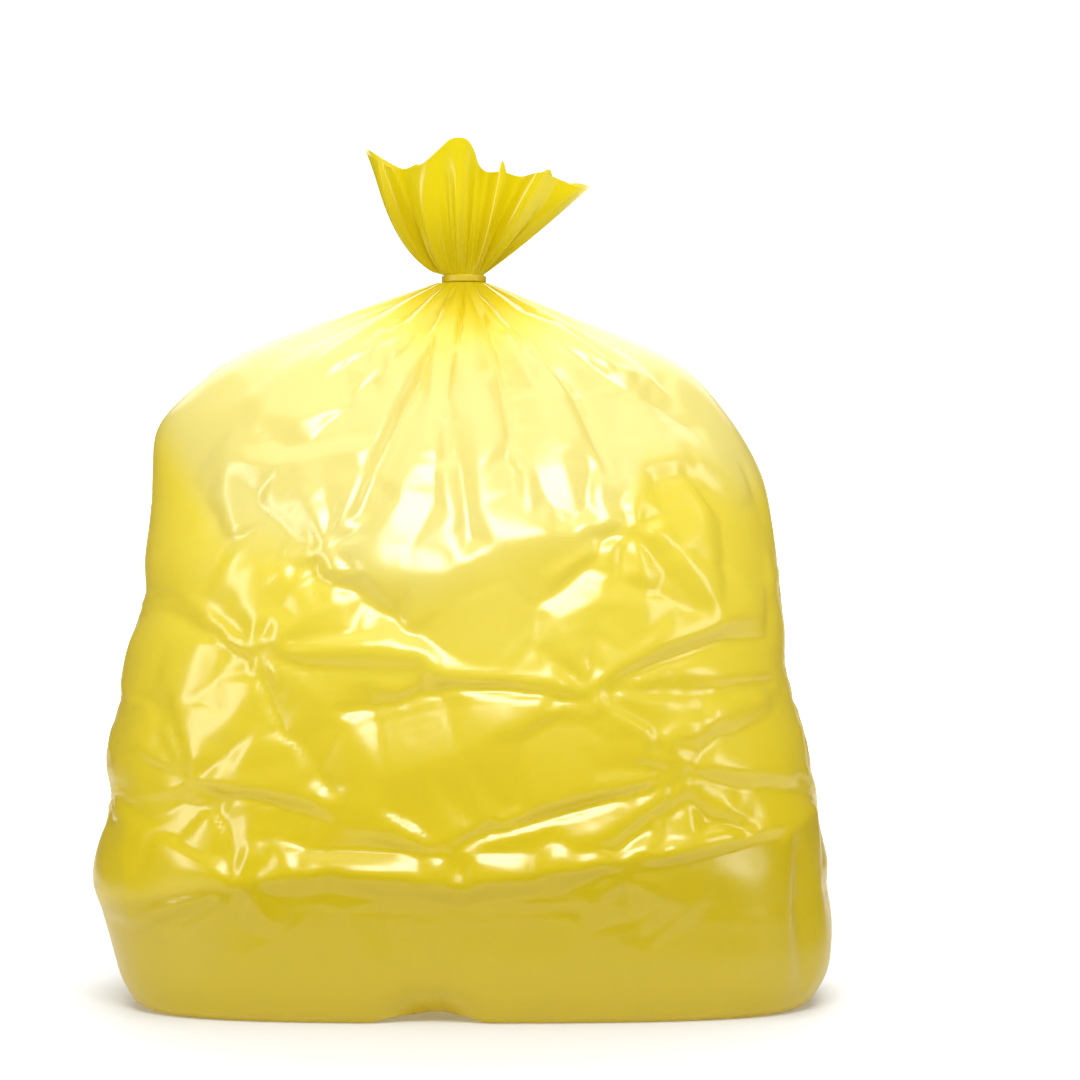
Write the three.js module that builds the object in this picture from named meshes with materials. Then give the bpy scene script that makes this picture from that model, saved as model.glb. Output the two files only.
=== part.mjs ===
// A full plastic refuse bag that stands on its flat base. Its film is gathered to a neck by a thin tie,
// and flares above the tie into a ruffle of petals. The film and what fills it are one closed solid.
// Millimetres, +Z up, the front towards -Y, and the origin in the middle of the base.
import * as THREE from "three";

// Driving dimensions
const bagWidth = 548;
const bagDepth = 350;
const neckHeight = 528;
const neckWidth = 29;
const mouthWidth = 168;
const mouthDepth = 118;
const mouthRise = 100;
const mouthHollow = 34;
const tieHeight = 5;
const tieThickness = 1.6;
const tieClearance = 0.3;
const baseCorner = 7;
const archHeight = 11;
const archWidth = 78;
const archReach = 60;
const archMiddle = -21;
const gatherDepth = 5;
const gatherCount = 14;
const gatherUneven = 1.4;
const foldStrength = 2.1;
const foldShareAtSides = 0.6;
const foldReach = 30;
const foldEdge = 4;
const baseFade = 30;
const neckFade = 60;
const gatherStart = 0.7;
const flareMean = 0.75;
const flareLean = 0.28;

// How finely the film is drawn
const columns = 96;
const bodyRows = 42;
const foldStep = 12;
const mouthRows = 7;
const hollowRows = 3;
const tieColumns = 36;
const tieEdgeSteps = 4;

// The bag's outline at rising heights, as seen from the front and from the side. Each station holds its share
// of the height up to the neck, then how far the film reaches to the left, right, front and back, as shares of
// the way from the neck out to half the width or depth, and last how square the outline is in plan.
const stations = [
  [0.0, 0.915, 0.95, 0.86, 0.87, 3.6],
  [0.06, 0.957, 0.99, 0.92, 0.92, 3.3],
  [0.115, 0.982, 1.0, 0.95, 0.95, 3.0],
  [0.16, 1.0, 0.985, 0.985, 0.975, 2.9],
  [0.205, 0.99, 0.975, 1.0, 0.99, 2.8],
  [0.25, 0.963, 0.96, 0.985, 1.0, 2.7],
  [0.282, 0.942, 0.95, 0.965, 0.985, 2.7],
  [0.32, 0.962, 0.935, 0.97, 0.965, 2.6],
  [0.35, 0.965, 0.928, 0.975, 0.97, 2.6],
  [0.4, 0.932, 0.9, 0.965, 0.98, 2.5],
  [0.46, 0.913, 0.858, 0.95, 0.96, 2.5],
  [0.51, 0.9, 0.87, 0.935, 0.94, 2.4],
  [0.562, 0.838, 0.853, 0.925, 0.91, 2.4],
  [0.595, 0.858, 0.84, 0.91, 0.895, 2.4],
  [0.66, 0.842, 0.823, 0.855, 0.85, 2.35],
  [0.72, 0.836, 0.803, 0.77, 0.775, 2.3],
  [0.785, 0.828, 0.73, 0.655, 0.66, 2.25],
  [0.81, 0.808, 0.698, 0.6, 0.61, 2.2],
  [0.845, 0.72, 0.64, 0.52, 0.53, 2.15],
  [0.875, 0.632, 0.557, 0.445, 0.455, 2.1],
  [0.905, 0.51, 0.455, 0.36, 0.37, 2.1],
  [0.935, 0.358, 0.308, 0.265, 0.27, 2.0],
  [0.965, 0.203, 0.16, 0.16, 0.165, 2.0],
  [0.985, 0.085, 0.07, 0.075, 0.08, 2.0],
  [1.0, 0.0, 0.0, 0.0, 0.0, 2.0],
];

// The ruffle's rim, round the neck from the right by way of the back. Each point holds its angle in degrees,
// its reach as a share of half the mouth, and its height as a share of the mouth's rise.
const rim = [
  [-10, 1.12, 0.66],
  [12, 0.8, 0.72],
  [30, 0.85, 0.83],
  [48, 0.7, 0.73],
  [67, 0.82, 0.9],
  [84, 0.68, 0.76],
  [103, 0.9, 0.84],
  [121, 0.7, 0.7],
  [140, 0.92, 0.82],
  [159, 0.74, 0.76],
  [179, 0.89, 0.94],
  [200, 0.76, 0.85],
  [221, 0.8, 0.88],
  [243, 0.66, 0.82],
  [267, 0.88, 1.0],
  [285, 0.64, 0.76],
  [305, 0.8, 0.75],
  [328, 0.72, 0.6],
];

// The main folds of the front, as the photograph shows them. Each fold is a run of points, each with its place
// across and down in the photograph's pixels, then how far the film stands out there: ridges out, creases in.
const frontFolds = [
  [[235, 553, 1], [275, 562, -4], [313, 573, -7], [344, 584, -8], [396, 620, -7], [433, 644, -3]],
  [[315, 553, 4], [344, 574, 5], [390, 578, 4], [442, 576, 4], [480, 553, 4], [532, 536, 5], [601, 529, 5], [635, 524, 4]],
  [[226, 462, 2], [256, 498, -5], [286, 531, -5], [315, 547, -2]],
  [[431, 344, -3], [420, 380, -4], [407, 402, -4], [382, 457, -4], [353, 513, -4], [331, 547, -3]],
  [[161, 435, -2], [190, 480, -4], [215, 520, -5], [232, 540, -4]],
  [[619, 533, -5], [587, 563, -6], [539, 611, -4]],
  [[541, 313, 4], [580, 343, 5], [621, 372, 5]],
  [[587, 362, -4], [621, 388, -4], [650, 400, -5], [688, 425, -3]],
  [[628, 510, 2], [647, 467, 4], [681, 459, 5], [715, 470, 5], [745, 494, 3]],
  [[635, 524, 5], [670, 540, 5], [700, 575, 5], [722, 611, 4]],
  [[170, 612, -4], [215, 640, -5], [248, 655, -3]],
  [[256, 644, 4], [300, 645, 5], [358, 647, 6], [412, 655, 6], [446, 675, 4]],
  [[345, 717, -5], [370, 707, -7], [406, 698, -7], [460, 687, -6], [520, 690, -6], [575, 700, -4]],
  [[251, 671, -3], [272, 710, -4], [294, 746, -4], [326, 786, -5]],
  [[347, 784, 1], [398, 773, 3], [460, 754, 3], [509, 729, 5], [579, 705, 3]],
  [[342, 800, 2], [393, 820, 5], [438, 845, 4]],
  [[264, 840, -3], [300, 848, -6], [331, 851, -6], [385, 848, -6], [438, 856, -4]],
  [[197, 782, 4], [264, 790, 5], [312, 798, 4]],
  [[205, 793, -4], [264, 802, -5], [305, 812, -4]],
  [[194, 789, -4], [224, 835, -4], [235, 856, -4]],
  [[118, 813, 4], [160, 842, 4], [216, 872, 4], [235, 883, 3]],
  [[127, 896, 2], [133, 917, 5], [180, 903, 5], [235, 884, 3]],
  [[240, 883, 3], [326, 872, 5], [400, 878, 5], [460, 885, 5], [547, 876, 5], [613, 863, 5]],
  [[589, 692, 4], [520, 682, 6], [440, 676, 5]],
  [[600, 684, 4], [661, 645, 6], [728, 622, 5], [757, 612, 4]],
  [[610, 690, -3], [665, 662, -5], [720, 640, -5], [765, 640, -3]],
  [[597, 702, 4], [632, 725, 6], [672, 745, 5], [680, 761, 3]],
  [[672, 742, 5], [715, 718, 6], [760, 697, 5]],
  [[685, 766, 3], [745, 768, 6], [805, 775, 4]],
  [[690, 800, -4], [720, 822, -7], [750, 832, -5]],
  [[675, 777, 3], [600, 789, 6], [520, 812, 6], [440, 838, 4]],
  [[670, 785, -2], [600, 804, -5], [520, 828, -5], [450, 852, -3]],
  [[685, 806, -3], [650, 830, -6], [615, 850, -5]],
  [[771, 828, 5], [707, 841, 6], [613, 863, 5]],
  [[787, 838, 4], [787, 900, 5], [787, 975, 3]],
  [[796, 850, -3], [797, 900, -6], [803, 960, -5]],
];

// The main folds of the sides and the back, which the photograph doesn't show. Each point has its plan angle in
// degrees, its height, and how far the film stands out there.
const backFolds = [
  [[12, 70, 3], [28, 82, 6], [48, 66, 3]],
  [[48, 66, 3], [70, 92, 6], [98, 84, 5], [118, 62, 3]],
  [[55, 58, -3], [76, 72, -5], [100, 66, -4]],
  [[118, 62, 3], [140, 90, 6], [166, 78, 4]],
  [[6, 128, 4], [26, 150, 6], [44, 140, 4]],
  [[10, 112, -4], [28, 130, -5], [44, 124, -3]],
  [[44, 140, 4], [66, 150, 6], [88, 176, 5], [108, 182, 3]],
  [[50, 124, -3], [70, 134, -5], [92, 158, -4]],
  [[88, 176, 4], [92, 130, 5], [98, 84, 3]],
  [[108, 182, 3], [130, 150, 6], [156, 146, 5], [176, 160, 3]],
  [[112, 162, -3], [132, 134, -6], [158, 128, -4]],
  [[8, 214, 3], [30, 222, 6], [58, 204, 5]],
  [[12, 198, -3], [32, 206, -5], [58, 188, -4]],
  [[58, 204, 4], [80, 236, 6], [104, 240, 4]],
  [[104, 240, 4], [128, 218, 6], [150, 226, 5], [172, 210, 3]],
  [[108, 222, -3], [130, 200, -5], [152, 208, -4]],
  [[10, 290, 3], [34, 280, 5], [62, 296, 5], [78, 288, 3]],
  [[14, 272, -3], [36, 264, -5], [62, 278, -4]],
  [[78, 288, 4], [104, 304, 6], [132, 286, 4]],
  [[82, 272, -3], [104, 286, -5], [130, 268, -3]],
  [[132, 286, 4], [152, 306, 6], [172, 296, 3]],
];

// How the photograph's pixels lie on the bag: those of its middle, its foot, and the camera's axis, how many
// reach to its side and up to its neck, and how much larger its front shows than its middle.
const photoMiddle = 464;
const photoFoot = 993;
const photoAxis = 540;
const photoHalfWidth = 370;
const photoNeck = 713;
const photoNearness = 1.07;

// Worked out from the driving dimensions
const neckRadius = neckWidth / 2;
const waistHalf = tieHeight / 2 + tieClearance;
const bodyTop = neckHeight - waistHalf;
const mouthFoot = neckHeight + waistHalf;
const rimMean = rim.reduce((sum, point) => sum + point[2], 0) / rim.length;

const { clamp, degToRad, euclideanModulo, lerp, radToDeg } = THREE.MathUtils;
const smooth = (t) => THREE.MathUtils.smoothstep(t, 0, 1);

// One column of the station list as a smooth curve of height share against value.
function stationCurve(column) {
  return new THREE.SplineCurve(stations.map((s) => new THREE.Vector2(s[0], s[column])));
}
const [leftCurve, rightCurve, frontCurve, backCurve, squareCurve] = [1, 2, 3, 4, 5].map(stationCurve);

// A point of the smooth body at a plan angle and a share of the way along the outline, from the base to the neck.
function bodyPoint(angle, along) {
  const side = (Math.cos(angle) < 0 ? leftCurve : rightCurve).getPoint(along);
  const face = (Math.sin(angle) < 0 ? frontCurve : backCurve).getPoint(along);
  const halfWidth = lerp(neckRadius, bagWidth / 2, side.y);
  const halfDepth = lerp(neckRadius, bagDepth / 2, face.y);
  const power = squareCurve.getPoint(along).y;
  const across = Math.abs(Math.cos(angle) / halfWidth) ** power;
  const deep = Math.abs(Math.sin(angle) / halfDepth) ** power;
  const reach = (across + deep) ** (-1 / power) - gatherPull(angle, side.x);
  return new THREE.Vector3(reach * Math.cos(angle), reach * Math.sin(angle), side.x * bodyTop);
}

// How deep the gathers below the neck pull the film in. They are uneven, and die out down the shoulders.
function gatherPull(angle, share) {
  const rise = clamp((share - gatherStart) / (1 - gatherStart), 0, 1);
  const swell = Math.sin(Math.PI * rise) ** 1.5;
  const ripple = 0.5 + 0.5 * Math.cos(gatherCount * angle + gatherUneven * Math.sin(2 * angle));
  return gatherDepth * swell * ripple;
}

// Where a rising function reaches a value.
function solve(rising, value, low, high) {
  for (let halving = 0; halving < 40; halving++) {
    const middle = (low + high) / 2;
    if (rising(middle) < value) low = middle;
    else high = middle;
  }
  return (low + high) / 2;
}
const alongAt = (height) => solve((along) => leftCurve.getPoint(along).x, height / bodyTop, 0, 1);

// The places of the two lists' points on the smooth body.
function frontPlace([across, down]) {
  const nearer = (pixel) => photoAxis + (pixel - photoAxis) / photoNearness;
  const x = ((nearer(across) - photoMiddle) / photoHalfWidth) * (bagWidth / 2);
  const along = alongAt(((photoFoot - nearer(down)) / photoNeck) * neckHeight);
  return bodyPoint(solve((angle) => bodyPoint(angle, along).x, x, Math.PI, 2 * Math.PI), along);
}
function backPlace([degrees, height]) {
  return bodyPoint(degToRad(degrees), alongAt(height));
}

// A fold as short straight stretches that follow the smooth body.
function laidFold(fold, place) {
  const stretches = [];
  for (let i = 0; i + 1 < fold.length; i++) {
    const count = Math.ceil(place(fold[i]).distanceTo(place(fold[i + 1])) / foldStep);
    const at = (k) => fold[i].map((value, part) => lerp(value, fold[i + 1][part], k / count));
    for (let k = 0; k < count; k++) {
      const [from, to] = [at(k), at(k + 1)];
      stretches.push({ line: new THREE.Line3(place(from), place(to)), from: from[2], to: to[2] });
    }
  }
  return stretches;
}
const laidFolds = [
  ...frontFolds.map((fold) => laidFold(fold, frontPlace)),
  ...backFolds.map((fold) => laidFold(fold, backPlace)),
];

// How far the folds move the film out at a point of the smooth body. Near folds count for more than far ones.
function foldLift(point) {
  let total = 1 / foldReach;
  let lift = 0;
  for (const fold of laidFolds) {
    let nearest = Infinity;
    let own = 0;
    for (const { line, from, to } of fold) {
      const share = line.closestPointToPointParameter(point, true);
      const gap = line.at(share, new THREE.Vector3()).distanceTo(point);
      if (gap < nearest) [nearest, own] = [gap, lerp(from, to, share)];
    }
    const weight = 1 / Math.hypot(nearest, foldEdge);
    total += weight;
    lift += weight * own;
  }
  return (foldStrength * lift) / total;
}

// A point of the folded body. The folds move it straight out or in, and less at the bag's narrow sides.
function foldedPoint(angle, along) {
  const point = bodyPoint(angle, along);
  const fade = smooth(clamp(point.z / baseFade, 0, 1)) * smooth(clamp((bodyTop - point.z) / neckFade, 0, 1));
  const out = foldLift(point) * fade * lerp(foldShareAtSides, 1, Math.abs(Math.sin(angle)));
  point.x += out * Math.cos(angle);
  point.y += out * Math.sin(angle);
  return point;
}

// The front edge of the base is arched a little off the floor near its middle.
function archLift(point) {
  const sideways = 1 - Math.abs(point.x - archMiddle) / (archWidth / 2);
  const low = 1 - point.z / archReach;
  return point.y < 0 ? archHeight * smooth(sideways) * smooth(low) : 0;
}

// The rim as a closed curve, and the point of the ruffle between the neck and the rim.
const rimCurve = new THREE.CatmullRomCurve3(
  rim.map(([degrees, reach, rise]) => {
    const angle = degToRad(degrees);
    return new THREE.Vector3(
      (reach * mouthWidth * Math.cos(angle)) / 2,
      (reach * mouthDepth * Math.sin(angle)) / 2,
      mouthFoot + rise * mouthRise,
    );
  }),
  true,
);

function rimPoint(angle) {
  const degrees = euclideanModulo(radToDeg(angle) - rim[0][0], 360);
  const offsets = [...rim.map((p) => p[0] - rim[0][0]), 360];
  const next = offsets.findIndex((o) => o > degrees);
  const part = (degrees - offsets[next - 1]) / (offsets[next] - offsets[next - 1]);
  return rimCurve.getPoint((next - 1 + part) / rim.length);
}

// The ruffle flares from the neck, faster on its left than on its right.
function mouthPoint(angle, share) {
  const foot = new THREE.Vector3(neckRadius * Math.cos(angle), neckRadius * Math.sin(angle), mouthFoot);
  const tip = rimPoint(angle);
  const out = share ** (flareMean + flareLean * Math.cos(angle));
  return new THREE.Vector3(lerp(foot.x, tip.x, out), lerp(foot.y, tip.y, out), lerp(foot.z, tip.z, share));
}

// The ruffle's inside falls from the rim to the hollow's floor, over the bunched film.
function hollowPoint(angle, share) {
  const tip = rimPoint(angle);
  const floor = mouthFoot + mouthRise * rimMean - mouthHollow;
  return new THREE.Vector3(tip.x * (1 - share), tip.y * (1 - share), lerp(tip.z, floor, Math.sqrt(share)));
}

// The film's net, row by row from the middle of the base to the ruffle's inside. Each row is a function of the
// plan angle.
function filmRows() {
  const axisPoint = (z) => () => new THREE.Vector3(0, 0, z);
  const lifted = (point) => point.setZ(point.z + archLift(point));
  const base = (inset) => (angle) => {
    const edge = bodyPoint(angle, 0);
    return edge.multiplyScalar(1 - inset / edge.length()).setZ(0);
  };
  const bodyRow = (row) => (angle) => {
    const point = foldedPoint(angle, row / bodyRows);
    return lifted(point.setZ(Math.max(point.z, baseCorner)));
  };
  const count = (length, row) => Array.from({ length }, (_, i) => row(i));
  return [
    axisPoint(0),
    base(archReach),
    (angle) => lifted(base(baseCorner)(angle)),
    ...count(bodyRows + 1, bodyRow),
    ...count(mouthRows + 1, (i) => (angle) => mouthPoint(angle, i / mouthRows)),
    ...count(hollowRows - 1, (i) => (angle) => hollowPoint(angle, (i + 1) / hollowRows)),
    axisPoint(hollowPoint(0, 1).z),
  ];
}

// A lathe gives the closed net, and each of its vertices is then moved out to its place on the film.
function filmGeometry() {
  const rows = filmRows();
  const profile = rows.map((_, i) => new THREE.Vector2(i === 0 || i === rows.length - 1 ? 0 : 1, i));
  const net = new THREE.LatheGeometry(profile, columns);
  const places = net.getAttribute("position");
  for (let column = 0; column <= columns; column++) {
    const angle = ((column % columns) / columns) * 2 * Math.PI;
    rows.forEach((row, i) => {
      const { x, y, z } = row(angle);
      places.setXYZ(column * rows.length + i, x, y, z);
    });
  }
  net.computeVertexNormals();
  return net;
}

// The tie is a flat band with round edges, wrapped round the neck.
function tieGeometry() {
  const inner = neckRadius + tieClearance;
  const edge = tieThickness / 2;
  const section = new THREE.Path();
  section.absarc(inner + edge, tieHeight / 2 - edge, edge, 0, Math.PI, false);
  section.absarc(inner + edge, edge - tieHeight / 2, edge, Math.PI, 2 * Math.PI, false);
  section.closePath();
  return new THREE.LatheGeometry(section.getPoints(tieEdgeSteps), tieColumns);
}

const bag = new THREE.Mesh(
  filmGeometry(),
  new THREE.MeshStandardMaterial({ color: 0xf0dc3c, roughness: 0.28, metalness: 0 }),
);
bag.name = "bag";

const tie = new THREE.Mesh(
  tieGeometry(),
  new THREE.MeshStandardMaterial({ color: 0xd9b816, roughness: 0.6, metalness: 0 }),
);
tie.name = "neck_tie";
tie.rotation.x = Math.PI / 2;
tie.position.z = neckHeight;

const refuseBag = new THREE.Group();
refuseBag.add(bag, tie);

export default refuseBag;
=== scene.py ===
import math

import bpy
import numpy as np
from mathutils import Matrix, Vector
from mathutils.bvhtree import BVHTree
from mathutils.geometry import delaunay_2d_cdt


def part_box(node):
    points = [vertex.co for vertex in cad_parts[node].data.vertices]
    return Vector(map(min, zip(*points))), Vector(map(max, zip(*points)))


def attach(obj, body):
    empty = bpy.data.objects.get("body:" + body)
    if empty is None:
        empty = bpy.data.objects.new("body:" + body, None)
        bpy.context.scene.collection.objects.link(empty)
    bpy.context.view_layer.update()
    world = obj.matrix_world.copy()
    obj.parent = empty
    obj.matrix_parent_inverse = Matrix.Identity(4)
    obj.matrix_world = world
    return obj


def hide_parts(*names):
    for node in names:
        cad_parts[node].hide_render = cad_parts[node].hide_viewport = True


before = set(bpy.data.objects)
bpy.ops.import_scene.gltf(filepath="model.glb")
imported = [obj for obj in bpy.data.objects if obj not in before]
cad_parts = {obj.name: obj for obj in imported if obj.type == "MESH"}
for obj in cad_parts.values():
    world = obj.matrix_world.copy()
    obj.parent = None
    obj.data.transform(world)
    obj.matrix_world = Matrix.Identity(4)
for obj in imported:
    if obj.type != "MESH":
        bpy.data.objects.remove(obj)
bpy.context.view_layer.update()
tie_low, tie_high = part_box("neck_tie")

# All sizes are in metres where nothing else is said.

# The photograph's camera: level, and looking along +Y. One of its pixels is PIXEL at the bag's middle.
PIXEL = 0.00074
MIDDLE_PX = 540
BAG_MIDDLE_PX = 464
FLOOR_PX = 993
CAMERA_DISTANCE = 2.4
CAMERA_X = (MIDDLE_PX - BAG_MIDDLE_PX) * PIXEL
CAMERA_Z = (FLOOR_PX - MIDDLE_PX) * PIXEL
SENSOR_MM = 36

# The stage: a floor in two parts, and a backdrop that the far part bends up into. All of it glows a
# little, and more so where less of the lights' light falls.
STAGE_HALF = 1.3
FLOOR_FRONT = -0.42
FLOOR_MIDDLE = 0.7
WALL_Y = 3.8
WALL_BEND = 1.1
WALL_BEND_POINTS = 13
WALL_TOP = 2.2
FLOOR_SHADE = 0.6
WALL_SHADE = 0.8
NEAR_GLOW = 0.14
FAR_GLOW = 0.5
WALL_GLOW = 0.95
STAGE_ROUGHNESS = 0.6
WORLD_STRENGTH = 0.12

# The soft boxes: each has its place, the point that it is turned to, its width and height, and its watts
LIGHTS = [
    ("front_box", (0.1, -1.7, 1.75), (0, 0, 0.4), (1.15, 0.8), 52),
    ("top_box", (0, -0.2, 2.2), (0, 0, 0.4), (2.6, 1.6), 22),
    ("back_box", (0, 1.6, 2.1), (0, 0, 0.5), (3.2, 2.0), 64),
    ("left_box", (-1.8, -1.1, 0.8), (0, 0, 0.3), (0.5, 1.2), 15),
    ("right_box", (1.9, -1.1, 0.9), (0, 0, 0.3), (0.5, 1.2), 12),
]

# The film's net: columns run round the bag, and rows run from the middle of the base up to the ruffle's
# rim. The base's rows crowd towards its edge, and the last is BASE_EDGE_GAP of a row short of it.
COLUMNS = 400
BASE_ROWS = 8
BODY_ROWS = 176
RUFFLE_ROWS = 44
BASE_HEIGHT = 0.0006
BASE_CROWDING = 0.7
BASE_EDGE_GAP = 0.3

# The smooth body follows the CAD solid, which is measured at many levels and then blended BODY_SOFTNESS
# times. The columns are spaced evenly along the girth at RING_HEIGHT.
RING_HEIGHT = 0.2
RING_STEPS = 1441
LOWEST_LEVEL = 0.004
SECOND_LEVEL = 0.010
LEVELS = 150
TIE_CLEARANCE = 0.0005
NECK_RADIUS = 0.0143
BODY_SOFTNESS = 14

# The body's fit to the photograph's outline, in shares of the reach from the axis: the sides and the left
# foot go in, the shoulder comes out, and the foot of the front is more upright.
SIDE_TRIM = 0.02
SIDE_TRIM_HEIGHTS = (0.42, 0.36)
LEFT_FOOT_TRIM = 0.028
LEFT_FOOT_HEIGHTS = (0.10, 0.03)
SHOULDER_REACH = 0.055
SHOULDER_Z = 0.472
SHOULDER_HALF = 0.024
FRONT_FOOT_REACH = 0.05
FRONT_FOOT_HEIGHT = 0.08

# The folds of the film as the photograph shows them. Each fold is a run of points in the photograph's
# pixels, each with how far it stands out of the smooth body, in millimetres. Ridges stand out and creases
# lie in.
DOME_FOLDS = [
    [(430, 400, 2), (441, 470, 4), (452, 520, 3), (448, 560, 1)],
    [(455, 420, -2), (462, 480, -4), (470, 540, -3)],
    [(486, 389, 3), (500, 440, 4), (528, 472, 3), (530, 520, 1)],
    [(532, 469, -2), (548, 500, -4), (560, 530, -2)],
    [(562, 396, 3), (580, 440, 4), (596, 460, 3), (604, 520, 1)],
    [(596, 470, -3), (590, 500, -4), (575, 530, -2)],
    [(250, 400, 2), (300, 424, 4), (340, 410, 3)],
    [(240, 420, -2), (290, 446, -4), (345, 436, -3)],
    [(452, 292, 1), (400, 330, 4), (330, 372, 4), (262, 432, 2)],
    [(454, 295, -1), (410, 345, -4), (350, 400, -4), (300, 450, -2)],
    [(456, 296, 1), (425, 350, 4), (385, 420, 4), (352, 480, 2)],
    [(462, 296, -1), (452, 360, -4), (445, 430, -4), (436, 500, -2)],
    [(466, 296, 1), (470, 360, 4), (476, 430, 4), (482, 510, 2)],
    [(470, 296, -1), (492, 350, -4), (508, 420, -4), (518, 490, -2)],
    [(474, 296, 1), (508, 340, 4), (540, 400, 4), (566, 470, 2)],
    [(478, 296, -1), (530, 340, -4), (575, 400, -4), (604, 470, -2)],
    [(226, 462, 3), (262, 468, 3), (300, 466, 2), (330, 455, 1)],
    [(226, 462, 2), (256, 498, -5), (286, 531, -5), (315, 547, -2)],
    [(295, 484, 1), (310, 515, 3), (326, 547, 3)],
    [(362, 453, 4), (356, 490, 4), (344, 531, 3), (326, 549, 2)],
    [(431, 344, -3), (420, 380, -4), (407, 402, -4), (382, 457, -4), (353, 513, -4), (331, 547, -3)],
    [(437, 350, 3), (430, 420, 4), (408, 470, 4), (390, 510, 3), (357, 556, 2)],
    [(161, 435, -2), (190, 480, -4), (215, 520, -5), (232, 540, -4)],
    [(226, 462, 3), (222, 500, 3), (232, 535, 2)],
    [(235, 553, 1), (275, 562, -4), (313, 573, -7), (344, 584, -8), (396, 620, -7), (433, 644, -3)],
    [(315, 553, 4), (344, 574, 4), (390, 578, 3), (442, 576, 3), (480, 553, 3), (532, 536, 3), (601, 529, 3),
     (635, 524, 4)],
    [(440, 606, 0), (490, 585, 0), (540, 570, -1), (600, 550, -2), (619, 538, -3)],
    [(619, 533, -5), (587, 563, -6), (539, 611, -4)],
    [(541, 313, 4), (580, 343, 5), (621, 372, 5)],
    [(486, 320, -3), (541, 366, -3)],
    [(587, 362, -4), (621, 388, -4), (650, 400, -5), (688, 425, -3)],
    [(647, 380, 3), (690, 420, 3), (745, 470, 2)],
    [(628, 510, 2), (647, 467, 4), (681, 459, 5), (715, 470, 5), (745, 494, 3)],
    [(655, 480, -3), (685, 475, -4), (712, 487, -4), (740, 508, -3)],
    [(679, 471, 1), (704, 510, 4), (715, 579, 4), (722, 608, 3)],
    [(690, 475, -3), (722, 520, -4), (727, 575, -4)],
    [(635, 524, 5), (670, 540, 5), (700, 575, 5), (722, 611, 4)],
    [(635, 535, -3), (670, 570, -4), (705, 608, -2)],
    [(624, 582, -4), (660, 592, -5), (693, 611, -3)],
    [(743, 469, -2), (761, 520, -3), (766, 588, -3)],
]
LEFT_FOLDS = [
    [(178, 585, 2), (208, 620, 4), (251, 647, 3)],
    [(170, 612, -4), (215, 640, -5), (248, 655, -3)],
    [(228, 585, 1), (256, 620, 4), (291, 625, 2)],
    [(256, 644, 4), (300, 645, 5), (358, 647, 6), (412, 655, 6), (446, 675, 4)],
    [(262, 660, -1), (330, 668, -3), (400, 672, -3), (440, 683, -2)],
    [(345, 717, -5), (370, 707, -7), (406, 698, -7), (460, 687, -6), (520, 690, -6), (575, 700, -4)],
    [(251, 671, -3), (272, 710, -4), (294, 746, -4), (326, 786, -5)],
    [(347, 784, 1), (398, 773, 3), (460, 754, 3), (509, 729, 5), (579, 705, 3)],
    [(342, 800, 2), (393, 820, 5), (438, 845, 4)],
    [(264, 840, -3), (300, 848, -6), (331, 851, -6), (385, 848, -6), (438, 856, -4)],
    [(189, 768, 3), (178, 730, 4), (168, 687, 3)],
    [(150, 700, -2), (165, 740, -4), (180, 770, -4)],
    [(168, 684, 3), (194, 711, 3), (225, 725, 3), (251, 741, 2)],
    [(197, 782, 4), (264, 790, 5), (312, 798, 4)],
    [(205, 793, -4), (264, 802, -5), (305, 812, -4)],
    [(194, 789, -4), (224, 835, -4), (235, 856, -4)],
    [(192, 778, 1), (160, 762, 3), (130, 746, 2)],
    [(118, 813, 4), (160, 842, 4), (216, 872, 4), (235, 883, 3)],
    [(135, 812, -1), (175, 840, -3), (222, 865, -3)],
    [(127, 896, 2), (133, 917, 5), (180, 903, 5), (235, 884, 3)],
    [(140, 928, -3), (185, 912, -4), (225, 896, -3)],
    [(240, 883, 3), (326, 872, 5), (400, 878, 5), (460, 885, 5), (547, 876, 5), (613, 863, 5)],
    [(260, 900, -2), (330, 893, -3), (460, 903, -3), (550, 893, -3), (610, 880, -3)],
]
RIGHT_FOLDS = [
    [(589, 692, 4), (520, 682, 6), (440, 676, 5)],
    [(600, 684, 4), (661, 645, 6), (728, 622, 5), (757, 612, 4)],
    [(610, 690, -3), (665, 662, -5), (720, 640, -5), (765, 640, -3)],
    [(667, 671, 4), (723, 676, 5), (773, 673, 4)],
    [(600, 694, -1), (661, 690, -4), (723, 690, -4), (768, 684, -3)],
    [(597, 702, 4), (632, 725, 6), (672, 745, 5), (680, 761, 3)],
    [(672, 742, 5), (715, 718, 6), (760, 697, 5)],
    [(690, 752, -3), (730, 735, -5), (770, 715, -3)],
    [(685, 766, 3), (745, 768, 6), (805, 775, 4)],
    [(690, 779, -2), (745, 787, -5), (800, 792, -3)],
    [(693, 791, 2), (725, 806, 5), (757, 823, 4)],
    [(690, 800, -4), (720, 822, -7), (750, 832, -5)],
    [(675, 777, 3), (600, 789, 6), (520, 812, 6), (440, 838, 4)],
    [(670, 785, -2), (600, 804, -5), (520, 828, -5), (450, 852, -3)],
    [(677, 796, 2), (640, 815, 5), (600, 840, 5), (560, 850, 3)],
    [(685, 806, -3), (650, 830, -6), (615, 850, -5)],
    [(771, 828, 5), (707, 841, 6), (613, 863, 5)],
    [(781, 836, -2), (707, 857, -5), (621, 875, -4)],
    [(776, 833, 4), (813, 807, 4)],
    [(787, 838, 4), (787, 900, 5), (787, 975, 3)],
    [(796, 850, -3), (797, 900, -6), (803, 960, -5)],
    [(815, 870, 3), (822, 930, 4), (815, 970, 2)],
]

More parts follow.
